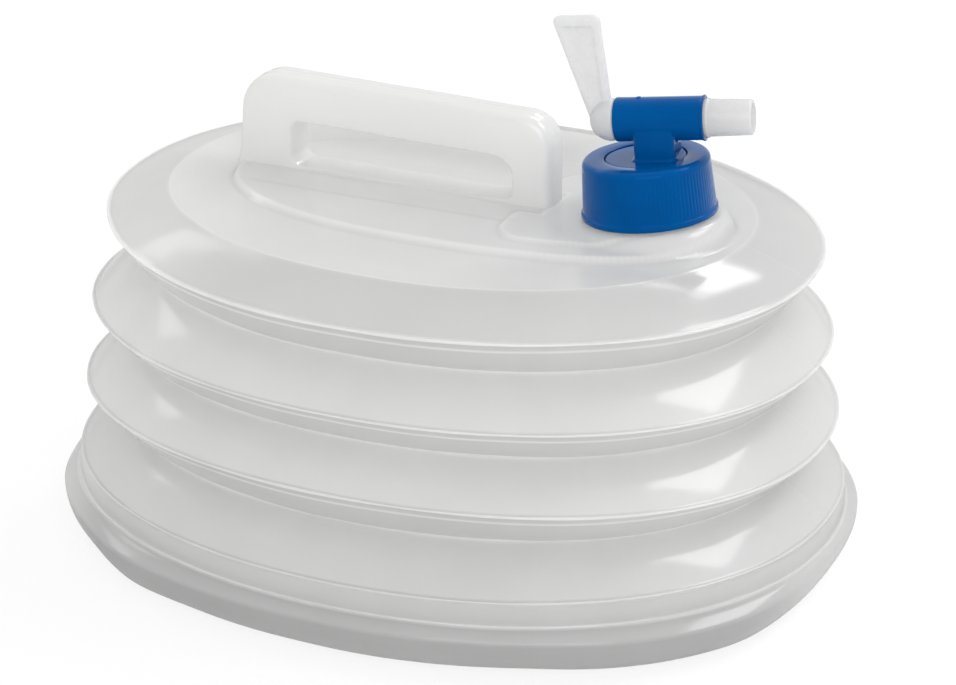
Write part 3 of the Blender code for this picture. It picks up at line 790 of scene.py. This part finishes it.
def handle_outlines():
    """The loops round the handle and round the gap, leaning and falling as the real ones do."""
    outer = corner_loop(handle_left, handle_right, handle_foot, handle_crown, handle_corners)
    inner = corner_loop(gap_left, gap_right, gap_bottom, gap_top, gap_corners)
    along = np.clip((outer[:, 0] - handle_left) / (handle_right - handle_left), 0.0, 1.0)
    raised = np.clip((outer[:, 1] - pad_top) / (handle_crown - pad_top), 0.0, 1.0)
    outer[:, 0] -= (post_lean + post_spread * (1.0 - raised) ** 2) * (1.0 - along) ** end_power
    outer[:, 1] += (crown_lift - crown_fall * along) * raised
    along = np.clip((inner[:, 0] - gap_left) / (gap_right - gap_left), 0.0, 1.0)
    raised = np.clip((inner[:, 1] - gap_bottom) / (gap_top - gap_bottom), 0.0, 1.0)
    inner[:, 0] -= gap_lean * (1.0 - along) ** end_power
    inner[:, 1] -= gap_top_fall * along * raised
    inner[:, 1] -= (gap_bottom_drop + gap_bottom_fall * along) * (1.0 - raised)
    return outer, inner


def build_handle():
    """The hollow handle, drawn as a ring of rounded sections round the finger gap."""
    outer, inner = handle_outlines()
    section = handle_section()
    grid = np.zeros((len(section), len(outer), 3))
    across = outer - inner
    unit = across / np.linalg.norm(across, axis=1, keepdims=True)
    for i, (share, inset, y) in enumerate(section):
        if share == 0.0:
            flat = inner + unit * inset
        elif share == 1.0:
            flat = outer - unit * inset
        else:
            flat = inner + unit * gap_edge + (across - unit * (gap_edge + handle_edge)) * share
        grid[i, :, 0] = flat[:, 0]
        grid[i, :, 1] = y
        grid[i, :, 2] = flat[:, 1]
    normals = grid_normals(np.concatenate((grid, grid[:1])))[:-1]
    if normals[len(section) // 4, 0, 1] > 0.0:
        normals = -normals
    on_outside = np.array([[row[0]] for row in section])
    offset = handle_seam_height * line(grid[..., 1], handle_seam_width) * on_outside
    for height, scale, seed in (handle_dents, handle_ripples):
        offset = offset + height * wobble(grid, scale, seed)
    item = grid_mesh("handle_skin", grid + normals * offset[..., None])
    mesh = bmesh.new()
    mesh.from_mesh(item.data)
    mesh.verts.ensure_lookup_table()
    columns = grid.shape[1]
    last = (grid.shape[0] - 1) * columns
    for j in range(columns):
        k = (j + 1) % columns
        mesh.faces.new([mesh.verts[i] for i in (last + j, last + k, k, j)])
    bmesh.ops.recalc_face_normals(mesh, faces=mesh.faces)
    mesh.to_mesh(item.data)
    mesh.free()
    item.data.shade_smooth()
    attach(item, "top")
    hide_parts("carry_handle")
    return item


def lathe_mesh(name, profile, columns, matrix, ribs=None):
    """A closed profile of (radius, height) spun about Z; ribs may change the radius."""
    turn = np.arange(columns) * math.tau / columns
    grid = np.zeros((len(profile) + 1, columns, 3))
    for i, (radius, height) in enumerate(profile + profile[:1]):
        reach = np.full(columns, radius) if ribs is None else ribs(radius, height, turn)
        grid[i, :, 0] = reach * np.cos(turn)
        grid[i, :, 1] = reach * np.sin(turn)
        grid[i, :, 2] = height
    item = grid_mesh(name, grid)
    mesh = bmesh.new()
    mesh.from_mesh(item.data)
    bmesh.ops.remove_doubles(mesh, verts=mesh.verts, dist=1e-7)
    bmesh.ops.recalc_face_normals(mesh, faces=mesh.faces)
    mesh.to_mesh(item.data)
    mesh.free()
    item.data.transform(matrix)
    item.data.shade_smooth()
    return item


def cap_ribs(radius, height, turn):
    """The radius of the cap round a turn, with the fine ribs of its skirt."""
    if height < skirt_foot or height > skirt_top or radius < rib_least_radius:
        return np.full(len(turn), radius)
    fade = min(1.0, (height - skirt_foot) / rib_fade_foot, (skirt_top - height) / rib_fade_top)
    return radius - rib_depth * fade * (0.5 + 0.5 * np.cos(rib_count * turn)) ** 2


def build_cap():
    """The cap ring: lip, fine ribs on the skirt, rounded top and the window for the disc."""
    lip = cap_lip_radius - 0.0005
    profile = arc((lip, 0.0006), 0.0005, -90.0, 0.0, 3)
    profile += arc((lip, 0.0020), 0.0005, 0.0, 80.0, 4)
    profile += [(0.0285, 0.0028), (0.02832, 0.0031)]
    for step in range(skirt_rows + 1):
        share = step / skirt_rows
        height = skirt_foot + (skirt_top - skirt_foot) * share
        profile.append((skirt_radius - skirt_taper * share, height))
    corner = (skirt_radius - skirt_taper - cap_round, cap_height - cap_round)
    profile += arc(corner, cap_round, 8.0, 90.0, 8)
    profile += [(0.0215, cap_height), (window_radius + 0.0004, cap_height)]
    profile += [(window_radius + 0.0001, cap_height - 0.0001)]
    profile += [(window_radius, cap_height - 0.0004), (window_radius, cap_height - cap_plate)]
    profile += [(cap_inner_radius, cap_height - cap_plate), (cap_inner_radius, 0.0001)]
    item = lathe_mesh("cap_ring", profile, rib_count * 6, neck_matrix, cap_ribs)
    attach(item, "cap")
    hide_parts("screw_cap")
    return item


def applied(item):
    """Puts the result of a piece's modifiers in place of its mesh."""
    bpy.context.view_layer.update()
    evaluated = item.evaluated_get(bpy.context.evaluated_depsgraph_get())
    item_mesh = bpy.data.meshes.new_from_object(evaluated)
    item.modifiers.clear()
    item.data = item_mesh


def melt(name, parts, voxel, rounds):
    """Joins closed solids into one piece with soft inner corners."""
    mesh = bmesh.new()
    for part in parts:
        mesh.from_mesh(part.data)
        bpy.data.objects.remove(part, do_unlink=True)
    bmesh.ops.recalc_face_normals(mesh, faces=mesh.faces)
    data = bpy.data.meshes.new(name)
    mesh.to_mesh(data)
    mesh.free()
    item = bpy.data.objects.new(name, data)
    bpy.context.collection.objects.link(item)
    remesh = item.modifiers.new("melt", "REMESH")
    remesh.mode = "VOXEL"
    remesh.voxel_size = voxel
    soften = item.modifiers.new("soften", "SMOOTH")
    soften.factor = 0.5
    soften.iterations = rounds
    applied(item)
    item.data.materials.clear()
    item.data.shade_smooth()
    return item


def carve(item, tools):
    """Cuts tools out of a piece and removes them."""
    for tool in tools:
        cut = item.modifiers.new("cut", "BOOLEAN")
        cut.operation = "DIFFERENCE"
        cut.solver = "EXACT"
        cut.object = tool
    applied(item)
    for tool in tools:
        bpy.data.objects.remove(tool, do_unlink=True)


def rounded_box(half_x, half_y, corner, bottom, top, matrix):
    """An upright bar with rounded corners."""
    outline = []
    for quarter in range(4):
        cx = (half_x - corner) * (1 if quarter in (0, 3) else -1)
        cy = (half_y - corner) * (1 if quarter in (0, 1) else -1)
        outline += arc((cx, cy), corner, 90.0 * quarter, 90.0 * (quarter + 1), 6)
    grid = np.zeros((2, len(outline), 3))
    for i, height in enumerate((bottom, top)):
        grid[i, :, :2] = outline
        grid[i, :, 2] = height
    item = grid_mesh("bar", grid, pole_start=True, pole_end=True)
    item.data.transform(matrix)
    return item


def build_tap_body():
    """Flange, disc, squarish stem and barrel in one moulding, with a lip at the spout end."""
    stem_matrix = Matrix.Translation((stem_offset, 0.0, 0.0))
    flange_top = cap_height - 0.0025
    flange_foot = flange_top - tap_flange_plate
    disc_top = cap_height - 0.0004
    disc = [(0.0, flange_foot), (tap_flange_radius, flange_foot)]
    disc += [(tap_flange_radius, flange_top), (window_radius - 0.0003, flange_top)]
    disc += arc((window_radius - 0.0009, disc_top - 0.0006), 0.0006, 0.0, 90.0, 4)
    disc += [(0.0, disc_top)]
    barrel = [(0.0, -barrel_left)]
    barrel += arc((0.0084, -barrel_left + 0.0010), 0.0010, -90.0, 0.0, 5)
    barrel += [(barrel_radius, -barrel_left + 0.0060), (barrel_radius, barrel_right - 0.0018)]
    barrel += [(0.0094, barrel_right - 0.0012), (0.0098, barrel_right - 0.0006)]
    barrel += [(0.0097, barrel_right - 0.0001), (0.0092, barrel_right), (0.0, barrel_right)]
    nib_matrix = Matrix.Translation((stem_offset - barrel_left + nib_inset, 0.0, 0.0))
    nib_top = barrel_height + 0.0098
    nib = [(0.0, barrel_height), (nib_radius, barrel_height), (nib_radius, nib_top - 0.0004)]
    nib += [(0.0009, nib_top), (0.0, nib_top)]
    stem_foot = disc_top - 0.0010
    parts = [
        lathe_mesh("disc", disc, turned_columns, Matrix()),
        rounded_box(0.0088, 0.0089, 0.0026, stem_foot, barrel_height, stem_matrix),
        rounded_box(0.0097, 0.0090, 0.0030, stem_foot, disc_top + 0.0006, stem_matrix),
        lathe_mesh("barrel", barrel, turned_columns, barrel_place),
        lathe_mesh("nib", nib, nib_columns, nib_matrix),
    ]
    item = melt("tap_valve_body", parts, voxel=0.00030, rounds=9)
    left, right = -barrel_left - past_end, barrel_right + past_end
    bore = [(0.0, left), (barrel_bore, left), (barrel_bore, right), (0.0, right)]
    stem = [(0.0, 0.0), (stem_bore, 0.0), (stem_bore, barrel_height), (0.0, barrel_height)]
    tools = [lathe_mesh("bore", bore, turned_columns, barrel_place)]
    tools += [lathe_mesh("stem_bore", stem, bore_columns, stem_matrix)]
    carve(item, tools)
    item.data.transform(tap_matrix)
    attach(item, "tap")
    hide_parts("tap_body")
    return item


def lever_sides(h):
    """Where the lever's long edges lie along the barrel, and its half thickness, at a height."""
    t = np.clip(h / lever_length, 0.0, 1.0)
    right = lever_face - lever_right_edge[0] - lever_right_edge[1] * t
    left = lever_face - lever_left_edge[0] - lever_left_edge[1] * t
    if h < 0.0:
        left = lever_face + 0.0003 - elbow_reach * math.sqrt(1.0 - (h / head_radius) ** 2)
    for radius, side in ((lever_right_corner, 0), (lever_left_corner, 1)):
        tip = h - (lever_length - radius)
        if tip > 0.0:
            draw = radius - math.sqrt(max(radius**2 - tip**2, 0.0))
            right -= draw * (1 - side)
            left += draw * side
    edge = h - (lever_length - lever_end_round)
    half = lever_half
    if edge > 0.0:
        round_end = lever_half * math.sqrt(max(1.0 - (edge / lever_half) ** 2, 0.0))
        half = max(round_end, lever_thin_half)
    return left, right, half


def lever_grid():
    """The lever in the barrel's frame: a tapering plate with soft edges and recessed faces."""
    across = 24
    shoulder = lever_length - lever_tip
    heights = list(np.linspace(-lever_sunk, shoulder, 56))
    heights += [shoulder + lever_tip * math.sin(math.pi / 2 * k / 9) for k in range(1, 10)]
    rows = []
    for h in heights:
        left, right, half = lever_sides(h)
        row = []
        for side in (1.0, -1.0):
            for k in range(across + 1):
                u = 0.5 - 0.5 * math.cos(math.pi * k / across)
                z = left + (right - left) * (u if side > 0 else 1.0 - u)
                border = min(z - left, right - z)
                bend = 1.0 - (1.0 - min(border / lever_edge, 1.0)) ** 2
                inner = min(
                    (border - recess_sides[0]) / recess_sides[1],
                    (lever_length - recess_tip[0] - h) / recess_tip[1],
                    (h - recess_foot[0]) / recess_foot[1],
                )
                depth = half * math.sqrt(max(bend, 0.0)) - recess_depth * float(smooth(inner))
                row.append((-h, side * max(depth, 0.0), z))
        rows.append(row)
    return np.array(rows)


def build_plug():
    """Plug and spout with the bore, the rounded elbow and the lever."""
    head = lever_face
    mouth = barrel_right + spout_length + 0.0012
    profile = [(0.0, head - elbow_reach)]
    for step in range(1, 16):
        turn = math.pi / 2 * step / 15
        profile.append((head_radius * math.sin(turn), head - 0.0012 - 0.0095 * math.cos(turn)))
    profile += [(head_radius, head - 0.0003), (0.0088, head), (0.0081, head)]
    profile += [(0.0081, barrel_right + 0.0004), (0.0084, barrel_right + 0.0007)]
    profile += [(0.0084, barrel_right + 0.0013), (0.0079, barrel_right + 0.0020)]
    profile += [(0.0075, mouth - 0.0007), (0.0073, mouth - 0.0002), (0.0070, mouth), (0.0, mouth)]
    lever = grid_mesh("lever", lever_grid(), pole_start=True, pole_end=True)
    parts = [lathe_mesh("plug_body", profile, turned_columns, Matrix()), lever]
    item = melt("lever_and_spout", parts, voxel=0.00028, rounds=7)
    drill = [(0.0, 0.0), (spout_bore - 0.0003, 0.0)]
    drill += [(spout_bore, mouth + 0.001), (0.0, mouth + 0.001)]
    carve(item, [lathe_mesh("bore", drill, bore_columns, Matrix())])
    item.data.transform(barrel_matrix)
    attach(item, "plug")
    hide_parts("tap_plug")
    return item


class Nodes:
    """A short way to write a material's nodes."""

    def __init__(self, name):
        self.material = bpy.data.materials.new(name)
        self.material.use_nodes = True
        self.tree = self.material.node_tree
        self.shader = self.tree.nodes["Principled BSDF"]

    def add(self, kind, inputs=(), **settings):
        node = self.tree.nodes.new(f"ShaderNode{kind}")
        for key, value in settings.items():
            setattr(node, key, value)
        for key, value in dict(inputs).items():
            self.put(node.inputs[key], value)
        return node

    def put(self, socket, value):
        """Links a socket to another node's output, or sets its value."""
        if isinstance(value, bpy.types.NodeSocket):
            self.tree.links.new(value, socket)
        else:
            socket.default_value = value

    def set(self, **inputs):
        """Sets or links the shader's own sockets, with _ for the spaces in their names."""
        for key, value in inputs.items():
            self.put(self.shader.inputs[key.replace("_", " ")], value)

    def show(self, shader):
        """Puts a shader on the surface."""
        self.put(self.tree.nodes["Material Output"].inputs["Surface"], shader)

    def noise(self, scale, detail=3.0, stretch=(1.0, 1.0, 1.0)):
        place = self.add("TexCoord").outputs["Object"]
        mapped = self.add("Mapping", {"Vector": place, "Scale": stretch}).outputs["Vector"]
        inputs = {"Vector": mapped, "Scale": scale, "Detail": detail, "Roughness": 0.5}
        return self.add("TexNoise", inputs).outputs["Fac"]

    def remap(self, value, low, high, start=0.3, end=0.7):
        inputs = {"Value": value, "From Min": start, "From Max": end, "To Min": low, "To Max": high}
        return self.add("MapRange", inputs).outputs["Result"]

    def mix(self, factor, colours):
        inputs = {0: factor, 6: colours[0], 7: colours[1]}
        return self.add("Mix", inputs, data_type="RGBA").outputs[2]

    def bump(self, height, strength, distance, normal=None):
        inputs = {"Height": height, "Strength": strength, "Distance": distance}
        if normal is not None:
            inputs["Normal"] = normal
        return self.add("Bump", inputs).outputs["Normal"]

    def glowing(self, share, colour):
        """Lets a share of the light through the wall."""
        glow = self.add("BsdfTranslucent", {"Color": colour}).outputs["BSDF"]
        inputs = {0: share, 1: self.shader.outputs["BSDF"], 2: glow}
        self.show(self.add("MixShader", inputs).outputs["Shader"])


def milky_material(name, colours, glow_share, from_points):
    """Translucent polyethylene: milky, glossy, with light coming through the wall."""
    n = Nodes(name)
    if from_points:
        # this point attribute holds the wall's milkiness together with painted shade and painted
        # light
        share = n.add("Attribute", attribute_name="milk_and_painted_shading").outputs["Fac"]
    else:
        share = n.noise(14.0, 3.0, (1.0, 1.0, 0.5))
    colour = n.mix(share, colours)
    fine = n.bump(n.noise(240.0, 2.0), 0.05, 0.00010)
    flow = n.bump(n.noise(38.0, 2.0, (1.0, 1.0, 0.25)), 0.25, 0.00060, fine)
    gloss = n.remap(n.noise(30.0, 3.0), 0.08, 0.17, 0.0, 1.0)
    n.set(Base_Color=colour, Roughness=gloss, Normal=flow, IOR=1.51, Specular_IOR_Level=0.90)
    n.glowing(glow_share, colour)
    return n.material


def blue_material():
    n = Nodes("blue_moulded")
    n.set(
        Base_Color=n.mix(n.remap(n.noise(60.0, 3.0), 0.0, 1.0), blue_colours),
        Roughness=n.remap(n.noise(180.0, 3.0), 0.10, 0.18),
        Normal=n.bump(n.noise(120.0, 2.0), 0.10, 0.00010),
        IOR=1.50,
        Specular_IOR_Level=0.18,
        Specular_Tint=blue_shine,
    )
    return n.material


def white_material():
    n = Nodes("white_moulded")
    n.set(
        Base_Color=n.mix(n.noise(70.0, 3.0), white_colours),
        Roughness=n.remap(n.noise(200.0, 3.0), 0.22, 0.34),
        Normal=n.bump(n.noise(420.0, 2.0), 0.05, 0.00005),
        IOR=1.49,
    )
    n.glowing(white_glow_share, white_glow)
    return n.material


def rubber_material():
    n = Nodes("grey_rubber_washer")
    grain = n.noise(900.0, 4.0)
    rough = n.remap(grain, 0.6, 0.8)
    bumps = n.bump(grain, 0.3, 0.00010)
    n.set(Base_Color=n.mix(grain, rubber_colours), Roughness=rough, Normal=bumps)
    return n.material


def dress(item, material):
    item.data.materials.clear()
    item.data.materials.append(material)


def dress_node(name, material):
    """Gives a CAD node that stays its new material, through the slots of its object."""
    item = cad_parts[name]
    if not item.material_slots:
        item.data.materials.append(material)
    for material_slot in item.material_slots:
        material_slot.link = "OBJECT"
        material_slot.material = material


def build_floor():
    """A floor that shows white to the camera, with the shadow, and lights the part as pale grey."""
    mesh = bpy.data.meshes.new("studio_floor")
    signs = ((-1, -1), (1, -1), (1, 1), (-1, 1))
    corners = [(x * floor_half, y * floor_half, 0.0) for x, y in signs]
    mesh.from_pydata(corners, [], [(0, 1, 2, 3)])
    floor = bpy.data.objects.new("studio_floor", mesh)
    bpy.context.collection.objects.link(floor)
    floor.location.z = -floor_drop
    n = Nodes("studio_floor")
    n.tree.nodes.remove(n.shader)
    path = n.add("LightPath").outputs["Is Camera Ray"]
    body = n.add("BsdfDiffuse", {"Color": floor_as_light}).outputs["BSDF"]
    seen = n.add("BsdfDiffuse", {"Color": floor_as_seen}).outputs["BSDF"]
    glow = n.add("Emission", {"Color": white, "Strength": floor_glow}).outputs["Emission"]
    both = n.add("AddShader", {0: seen, 1: glow}).outputs["Shader"]
    n.show(n.add("MixShader", {0: path, 1: body, 2: both}).outputs["Shader"])
    mesh.materials.append(n.material)


def build_light(name, bearing, target, size, power, mirrored):
    """A softbox at (azimuth, elevation, distance), in degrees from +X; fills aren't mirrored."""
    azimuth, elevation, distance = math.radians(bearing[0]), math.radians(bearing[1]), bearing[2]
    flat = math.cos(elevation)
    way = Vector((math.cos(azimuth) * flat, math.sin(azimuth) * flat, math.sin(elevation)))
    data = bpy.data.lights.new(name, "AREA")
    data.shape = "RECTANGLE"
    data.size, data.size_y = size
    data.energy = power
    lamp = bpy.data.objects.new(name, data)
    bpy.context.collection.objects.link(lamp)
    lamp.location = way * distance + light_centre
    lamp.rotation_euler = (Vector(target) - lamp.location).to_track_quat("-Z", "Y").to_euler()
    lamp.visible_glossy = mirrored


def build_world():
    """White to the camera and in reflections, and dimmer as a light."""
    world = bpy.data.worlds.new("studio")
    bpy.context.scene.world = world
    world.use_nodes = True
    tree = world.node_tree
    background = tree.nodes["Background"]
    path = tree.nodes.new("ShaderNodeLightPath")
    strength = tree.nodes.new("ShaderNodeMapRange")
    strength.inputs["To Min"].default_value = world_light
    strength.inputs["To Max"].default_value = 1.0
    seen = path.outputs["Is Camera Ray"]
    for kind in ("Is Glossy Ray", "Is Transmission Ray"):
        either = tree.nodes.new("ShaderNodeMath")
        either.operation = "MAXIMUM"
        tree.links.new(seen, either.inputs[0])
        tree.links.new(path.outputs[kind], either.inputs[1])
        seen = either.outputs["Value"]
    tree.links.new(seen, strength.inputs["Value"])
    tree.links.new(strength.outputs["Result"], background.inputs["Strength"])
    background.inputs["Color"].default_value = white


def build_camera():
    camera = bpy.data.objects.new("camera", bpy.data.cameras.new("camera"))
    bpy.context.collection.objects.link(camera)
    camera.data.sensor_width = camera_sensor
    camera.data.lens = camera_lens
    camera.data.clip_end = camera_reach
    matrix = Matrix((camera_right, camera_up, camera_back)).transposed().to_4x4()
    matrix.translation = camera_place
    camera.matrix_world = matrix
    bpy.context.scene.camera = camera


milky = milky_material("milky_shell", wall_colours, wall_glow_share, True)
dense = milky_material("milky_handle", handle_colours, handle_glow_share, False)
blue = blue_material()
skin = build_bellows()
dress(skin, milky)
dress(build_base(), milky)
dress(build_top(), milky)
dress(build_handle(), dense)
dress(build_cap(), blue)
dress(build_tap_body(), blue)
dress(build_plug(), white_material())
dress_node("threaded_neck", dense)
dress_node("seal_washer", rubber_material())
build_floor()
for light_name, light in lights.items():
    build_light(light_name, *light)
build_world()
build_camera()
bpy.context.scene.view_settings.view_transform = "Standard"

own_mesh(skin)
